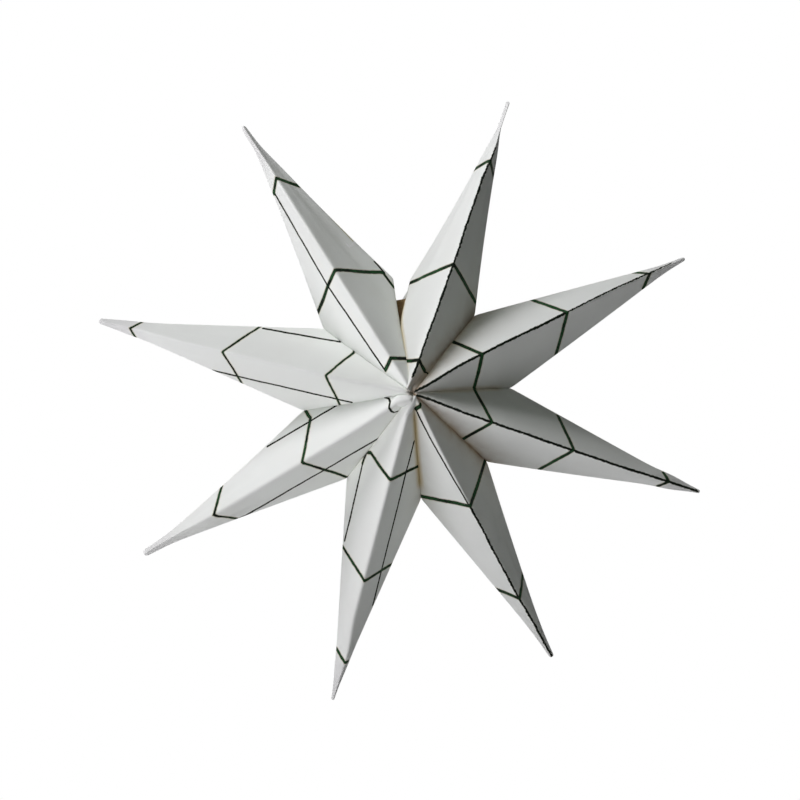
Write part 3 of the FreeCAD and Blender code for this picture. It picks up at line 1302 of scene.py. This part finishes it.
    def trimmed(self, off_seam: np.ndarray, across: np.ndarray, radius: np.ndarray) -> np.ndarray:
        """How much of the cream-tan line along the seams shows at each point.

        Args:
            off_seam: Distances from the seam.
            across: Distances across the arm, whose sign tells the seam.
            radius: Distances from the star's axis.

        Returns:
            Shares from 0 to 1.
        """
        trim = self.by_side(across, self.right.trim, self.left.trim)
        width = self.by_side(across, self.right.trim_width, self.left.trim_width)
        shown = smooth(radius, *HAND.trim_grows) * (1.0 - smooth(radius, *HAND.trim_ends))
        return trim * np.exp(-((off_seam / width) ** 4)) * shown

    @staticmethod
    def unevenness(x: np.ndarray, y: np.ndarray, z: np.ndarray, run: np.ndarray) -> np.ndarray:
        """Soft waves left in the faces by hand folding.

        Args:
            x: Places along X.
            y: Places along Y.
            z: Places along Z.
            run: Share of the way from the seam to the tip.

        Returns:
            How far each point moves along Y.
        """
        waves = np.zeros_like(x)
        for row, column in np.ndindex(x.shape):
            place = Vector((x[row, column], y[row, column], z[row, column]))
            ripple = HAND.ripple * noise.noise(place / HAND.ripple_length)
            waves[row, column] = noise.noise(place / HAND.wave_length) + ripple
        fade = smooth(run, *HAND.wave_grows) * (1.0 - smooth(run, *HAND.wave_ends))
        return HAND.wave * waves * fade

    def on_sheet(self, height: np.ndarray, across: np.ndarray) -> Grids:
        """Place of each point on the flat sheet.

        Args:
            height: Distances out along the arm.
            across: Distances across it.

        Returns:
            Grids of the distance along the ridge and across from it.
        """
        ridge = np.array([0.0, FORM.half_depth, FORM.cone_length])
        ridge /= np.linalg.norm(ridge)
        outward = np.array([1.0 / FORM.half_width, -1.0 / FORM.half_depth, 1.0 / FORM.cone_length])
        sideways = np.cross(ridge, outward)
        sideways *= np.sign(sideways[0]) / np.linalg.norm(sideways)
        flat_across = across / sideways[0]
        along = (height - sideways[2] * np.abs(flat_across)) / ridge[2]
        return along * (FORM.tip_radius + self.tip_out) / FORM.tip_radius, flat_across

    @staticmethod
    def settle_centre(grid: dict[str, np.ndarray]) -> None:
        """Press the sheet in a little where all the ridges meet.

        Args:
            grid: The arm's grids, changed in place.
        """
        spread_x, spread_z = HAND.pressed_spread
        off_x = (grid["x"] - HAND.pressed_middle) / spread_x
        pressed = HAND.pressed_in * np.exp(-(off_x**2) - (grid["z"] / spread_z) ** 2)
        grid["y"] = grid["y"] - np.sign(grid["y"]) * pressed

    # -- mesh --

    def points_and_faces(self) -> tuple[np.ndarray, list[Face], np.ndarray]:
        """Points, faces and sheet map of the arm.

        Returns:
            Points in metres, faces, and a sheet map entry for each point.
        """
        grid = self.surface()
        rows, columns = grid["x"].shape
        points = point_rows(grid["x"], grid["y"], grid["z"]) * MM
        mapped = point_rows(grid["along"], grid["across"], grid["seam_shade"], grid["trim"])
        faces = quads(rows, columns, closed=True)
        last, tip = (rows - 1) * columns, rows * columns
        faces += [(last + side, last + (side + 1) % columns, tip) for side in range(columns)]
        points = np.vstack([points, points[last:].mean(axis=0)])
        mapped = np.vstack([mapped, mapped[last:].mean(axis=0)])
        if self.inner_end:
            out, across, deep = self.inner_end.outline()
            x, z = self.to_star(out, across)
            clean = np.zeros_like(across)
            for face in quads(*out.shape):
                turned = face[:1] + face[:0:-1]
                faces.append(tuple(len(points) + corner for corner in turned))
            points = np.vstack([points, point_rows(x, deep, z) * MM])
            mapped = np.vstack([mapped, point_rows(*self.on_sheet(out, across), clean, clean)])
        return points, faces, mapped

    def sheet_share(self, points: np.ndarray) -> np.ndarray:
        """Share of the sheet's thickness at each point: rolled thin towards the arm's point."""
        out = (points[:, 0] * math.sin(self.angle) + points[:, 2] * math.cos(self.angle)) / MM
        return 1.0 - HAND.rolled_thin * smooth(out, *HAND.rolled_from)

    def build(self) -> bpy.types.Object:
        """Make the arm, dress it and put it in the frame.

        Returns:
            The arm.
        """
        points, faces, mapped = self.points_and_faces()
        mesh = bpy.data.meshes.new(self.name)
        mesh.from_pydata(points.tolist(), [], faces)
        mesh.shade_smooth()
        mapped = mapped.astype(np.float32)
        stored = mesh.attributes.new(SHEET_MAP, "FLOAT_VECTOR", "POINT")
        stored.data.foreach_set("vector", mapped[:, :3].ravel())
        trim = mesh.attributes.new(SEAM_TRIM, "FLOAT", "POINT")
        trim.data.foreach_set("value", mapped[:, 3].copy())
        made = new_object(f"paper_{self.name}", mesh)
        thinning = made.vertex_groups.new(name="sheet_thickness")
        for number, share in enumerate(self.sheet_share(points)):
            thinning.add([number], float(share), "REPLACE")
        sheet = made.modifiers.new("sheet", "SOLIDIFY")
        sheet.thickness = FORM.sheet * MM
        sheet.offset = -1.0
        sheet.vertex_group = thinning.name
        shift = self.grain_step * self.number
        paper = self.finish.build(f"printed_paper_{self.number}", self.printed, shift)
        mesh.materials.append(paper)
        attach(made, BODY)
        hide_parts(self.name)
        log.info("%s: %d points", made.name, len(points))
        return made


# ---- closure cards --------------------------------------------------------------------------------


@dataclass
class ClosureCard:
    """Angled kraft card glued to one lip of the closure, with half of the hang hole."""

    edge: ClosureEdge
    inset: float = 1.0
    width: float = 13.9
    top: float = 46.8
    thickness: float = 0.48
    glue: float = 0.04
    end_share: float = 0.955  # of the half depth, where the card stops short of the ridge
    hole_radius: float = 1.5
    hole_height: float = 32.03
    punch_length: float = 20.0
    punch_sides: int = 40
    columns: int = 48
    rows: int = 8
    face: CardFinish = CardFinish((0.42, 0.295, 0.15, 1.0), (0.62, 0.46, 0.265, 1.0))
    cut: CardFinish = CardFinish((0.40, 0.29, 0.165, 1.0), (0.58, 0.45, 0.285, 1.0), 700.0)

    @property
    def name(self) -> str:
        """The card's name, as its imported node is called."""
        return f"closure_card_{self.edge.side.name.lower()}"

    def layer(self, off_lip: float) -> np.ndarray:
        """Points of one face of the card.

        Args:
            off_lip: Distance from the lip, into the slot.

        Returns:
            Grid of points in millimetres.
        """
        lip = replace(self.edge, open_through=2.0 * FORM.notch_radius)
        half = np.linspace(1.0 - self.top / FORM.notch_radius, self.end_share, self.columns // 2)
        share = np.concatenate([-half[::-1], half])
        radius = FORM.notch_radius * (1.0 - np.abs(share))
        depth = FORM.half_depth * share
        x, z = lip.placed(radius, depth)
        recess = self.edge.flap_recess * smooth(radius, 0.0, FORM.centre_blend)
        outer = 1.0 - self.inset / FORM.seam_depth
        inner = outer - self.width / FORM.seam_depth
        grid = []
        for scale in np.linspace(outer, inner, self.rows):
            off_middle = scale * x + self.edge.side.value * (recess - off_lip)
            grid.append(np.stack([off_middle, scale * depth, scale * z], axis=-1))
        return np.array(grid)

    def rim(self) -> list[int]:
        """Numbers of the points round the edge of a layer, in order.

        Returns:
            The numbers.
        """
        numbers = np.arange(self.rows * self.columns).reshape(self.rows, self.columns)
        sides = (numbers[0], numbers[1:, -1], numbers[-1, -2::-1], numbers[-2:0:-1, 0])
        return np.concatenate(sides).tolist()

    def build(self) -> bpy.types.Object:
        """Make the card, dress it and put it in the frame.

        Returns:
            The card.
        """
        layers = [self.layer(self.glue), self.layer(self.glue + self.thickness)]
        points = np.concatenate([layer.reshape(-1, 3) for layer in layers]) * MM
        under = self.rows * self.columns
        faces = []
        for face in quads(self.rows, self.columns):
            faces += [face, tuple(under + corner for corner in reversed(face))]
        pressed = len(faces)
        rim = self.rim()
        for here, beside in zip(rim, rim[1:] + rim[:1]):
            faces.append((here, under + here, under + beside, beside))
        side = self.edge.side.name.lower()
        mesh = bpy.data.meshes.new(self.name)
        mesh.from_pydata(points.tolist(), [], faces)
        mesh.materials.append(self.face.build(f"kraft_{side}"))
        mesh.materials.append(self.cut.build(f"kraft_cut_{side}"))
        for number, polygon in enumerate(mesh.polygons):
            polygon.material_index = int(number >= pressed)
        mesh.validate()
        made = new_object(f"kraft_{self.name}", mesh)
        self.punch(made)
        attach(made, BODY)
        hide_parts(self.name)
        log.info("%s: %d points", made.name, len(made.data.vertices))
        return made

    def punch(self, card: bpy.types.Object) -> None:
        """Cut the hang hole through the card.

        Args:
            card: The card, changed in place.
        """
        bpy.ops.mesh.primitive_cylinder_add(
            vertices=self.punch_sides,
            radius=self.hole_radius * MM,
            depth=self.punch_length * MM,
            location=(0.0, 0.0, self.hole_height * MM),
            rotation=(0.0, math.pi / 2.0, 0.0),
        )
        punch = bpy.context.object
        cut = card.modifiers.new("hang_hole", "BOOLEAN")
        cut.object = punch
        cut.operation = "DIFFERENCE"
        cut.solver = "EXACT"
        bpy.context.view_layer.update()
        punched = card.evaluated_get(bpy.context.evaluated_depsgraph_get())
        mesh = bpy.data.meshes.new_from_object(punched)
        card.modifiers.clear()
        card.data = mesh
        bpy.data.objects.remove(punch)


# ---- studio ---------------------------------------------------------------------------------------


@dataclass
class Lamp:
    """Soft round lamp, aimed at the star's centre."""

    name: str
    azimuth: float
    elevation: float
    power: float
    distance: float = 1.0
    size: float = 0.5
    colour: tuple[float, float, float] = (0.982, 0.940, 1.0)

    def build(self) -> bpy.types.Object:
        """Hang the lamp.

        Returns:
            The lamp.
        """
        light = bpy.data.lights.new(self.name, "AREA")
        light.shape = "DISK"
        light.size = self.size
        light.energy = self.power
        light.color = self.colour
        made = new_object(self.name, light)
        direction = toward(self.azimuth, self.elevation)
        made.location = direction * self.distance
        made.rotation_euler = direction.to_track_quat("Z", "Y").to_euler()
        return made


NEUTRAL = (0.95, 0.98, 0.94)
LAMPS = (
    Lamp("low_left", -69.4, -28.4, 6.0),
    Lamp("high_left", -57.0, 55.5, 5.9),
    Lamp("left", -43.9, -21.8, 2.1),
    Lamp("top", 0.0, 72.0, 0.8, colour=NEUTRAL),
    Lamp("front", 0.0, 24.0, 0.55, colour=NEUTRAL),
    Lamp("back", 172.0, 14.0, 6.0, distance=1.6, size=1.0),
)


@dataclass
class Studio:
    """Plain pale floor, white surround and soft lamps; its sizes are in metres."""

    floor_drop: float = 0.30
    floor_radius: float = 0.56
    floor_sides: int = 96
    floor_tone: Colour = (0.88, 0.88, 0.88, 1.0)
    rim_from: float = 0.35  # share of the radius at which the floor starts to turn white
    rim_to: float = 0.98
    rim_glow: Pair = (0.80, 1.0)
    white: Colour = (1.0, 1.0, 1.0, 1.0)
    fill: float = 0.01
    fill_colour: Colour = (0.97, 1.0, 0.93, 1.0)

    @staticmethod
    def seen_directly(graph: Graph) -> bpy.types.NodeSocket:
        """Tell what is seen from what only lights the star.

        Args:
            graph: Where to wire it.

        Returns:
            Socket with 1 for what is seen straight, in a mirror or through glass, and 0 for light.
        """
        path = graph.node("ShaderNodeLightPath")
        seen = graph.math("ADD", path.outputs["Is Camera Ray"], path.outputs["Is Glossy Ray"])
        return graph.math("ADD", seen, path.outputs["Is Transmission Ray"], clamp=True)

    def build_surround(self) -> None:
        """Make the white surround, which lights the star only weakly."""
        world = bpy.data.worlds.new("surround")
        graph = Graph.cleared(world)
        fill_inputs = {"Color": self.fill_colour, "Strength": self.fill}
        fill = graph.node("ShaderNodeBackground", fill_inputs)
        white = graph.node("ShaderNodeBackground", {"Color": self.white})
        inputs = {0: self.seen_directly(graph), 1: fill.outputs[0], 2: white.outputs[0]}
        mixed = graph.node("ShaderNodeMixShader", inputs)
        graph.node("ShaderNodeOutputWorld", {0: mixed.outputs[0]})
        bpy.context.scene.world = world

    def build_floor(self) -> bpy.types.Object:
        """Lay the pale round floor under the star.

        Returns:
            The floor.
        """
        bpy.ops.mesh.primitive_circle_add(
            vertices=self.floor_sides,
            radius=self.floor_radius,
            fill_type="NGON",
            location=(0.0, 0.0, -self.floor_drop),
        )
        floor = bpy.context.object
        floor.name = "floor"
        made = bpy.data.materials.new("pale_floor")
        graph = Graph.cleared(made)
        diffuse = graph.node("ShaderNodeBsdfDiffuse", {"Color": self.floor_tone})
        glow = graph.node("ShaderNodeEmission")
        place = graph.node("ShaderNodeTexCoord").outputs["Object"]
        radius = graph.vector("LENGTH", place).outputs[1]
        near, far = (share * self.floor_radius for share in (self.rim_from, self.rim_to))
        rim = graph.spread(radius, near, far, self.rim_glow)
        share = graph.math("MULTIPLY", self.seen_directly(graph), rim)
        inputs = {0: share, 1: diffuse.outputs[0], 2: glow.outputs[0]}
        mixed = graph.node("ShaderNodeMixShader", inputs)
        graph.node("ShaderNodeOutputMaterial", {0: mixed.outputs[0]})
        floor.data.materials.append(made)
        return floor

    def build(self) -> None:
        """Make the surround, the floor and the lamps."""
        self.build_surround()
        self.build_floor()
        for lamp in LAMPS:
            lamp.build()
        log.info("studio: floor, surround and six lamps")


@dataclass
class Camera:
    """Camera that looks nearly straight at the star's front; its distances are in metres."""

    azimuth: float = -3.1
    elevation: float = -1.2
    roll: float = -6.4
    distance: float = 1.3
    lens: float = 121.5
    aim_left: float = 0.0037
    aim_down: float = 0.0020
    clip_start: float = 0.05

    def build(self) -> bpy.types.Object:
        """Set the camera up.

        Returns:
            The camera.
        """
        back, roll = toward(self.azimuth, self.elevation), math.radians(self.roll)
        level = Vector((0.0, 0.0, 1.0)).cross(back).normalized()
        upright = back.cross(level)
        right = math.cos(roll) * level + math.sin(roll) * upright
        up = math.cos(roll) * upright - math.sin(roll) * level
        target = -self.aim_left * right - self.aim_down * up
        data = bpy.data.cameras.new("camera")
        data.lens = self.lens
        data.clip_start = self.clip_start
        made = new_object("camera", data)
        turned = Matrix((right, up, back)).transposed().to_4x4()
        made.matrix_world = Matrix.Translation(target + self.distance * back) @ turned
        bpy.context.scene.camera = made
        return made


# ---- the whole star -------------------------------------------------------------------------------


STRAYS = (  # the small differences that hand folding leaves, arm by arm
    dict(
        tip_out=0.6, tip_turn=0.67, point_end=0.6, ridge_soft=4.5, ridge_drift=-0.3, inner_lean=-3.2,
        point_lean=0.75, left_bulge=-1.5, right_bulge=-1.1, outer_bulge=-0.8,
    ),
    dict(
        tip_out=0.1, tip_turn=1.0, point_end=0.45, ridge_drift=-1.8, point_lean=-0.3,
        left_bulge=0.2, right_bulge=0.3,
    ),
    dict(
        tip_out=-1.2, tip_turn=1.1, point_end=0.25, ridge_drift=0.7, right_bulge=0.5, outer_bulge=1.0,
    ),
    dict(
        tip_out=-6.4, tip_turn=-0.4, point_end=0.65, ridge_drift=0.9, left_bulge=-0.4, outer_bulge=0.2,
    ),
    dict(
        tip_out=0.3, tip_turn=-1.9, point_end=0.2, ridge_soft=5.5, point_lean=-0.5,
        right_bulge=0.1, outer_bulge=0.4, inner_end=NARROW_END,
    ),
    dict(
        tip_out=-2.6, tip_turn=-1.15, point_end=1.15, ridge_soft=6.0, ridge_drift=-1.1,
        right_bulge=-0.7, outer_bulge=-0.2, inner_end=PUFFED_END,
    ),
    dict(
        tip_out=2.3, tip_turn=-1.0, point_end=0.8, ridge_soft=6.0, ridge_drift=-1.1, outer_bulge=0.5,
    ),
    dict(
        tip_out=2.1, tip_turn=-0.3, point_end=0.7, ridge_soft=5.0, ridge_drift=-0.2,
        point_curl=-0.5, left_bulge=-0.9, right_bulge=-1.0, outer_bulge=-0.3,
    ),
)


@dataclass
class Star:
    """The eight arms and the two closure cards."""

    seams: list[Seam] = field(default_factory=make_seams)
    prints: tuple[Print, ...] = PRINTS

    def arms(self) -> list[Arm]:
        """Arms 1 to 8, each between its two seams."""
        arms = enumerate(zip(self.seams, self.seams[1:], self.prints, STRAYS), start=1)
        return [Arm(number, *given, **stray) for number, (*given, stray) in arms]

    def build(self) -> None:
        """Make every piece of the star."""
        for arm in self.arms():
            arm.build()
        for edge in (self.seams[0], self.seams[-1]):
            ClosureCard(edge).build()


def main() -> None:
    """Set up the studio and the camera, and build the star."""
    logging.basicConfig(level=logging.INFO, format="%(name)s %(message)s")
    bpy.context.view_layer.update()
    bpy.context.scene.view_settings.view_transform = "Standard"
    Camera().build()
    Studio().build()
    Star().build()
    log.info("size written")


if __name__ == "__main__":
    main()
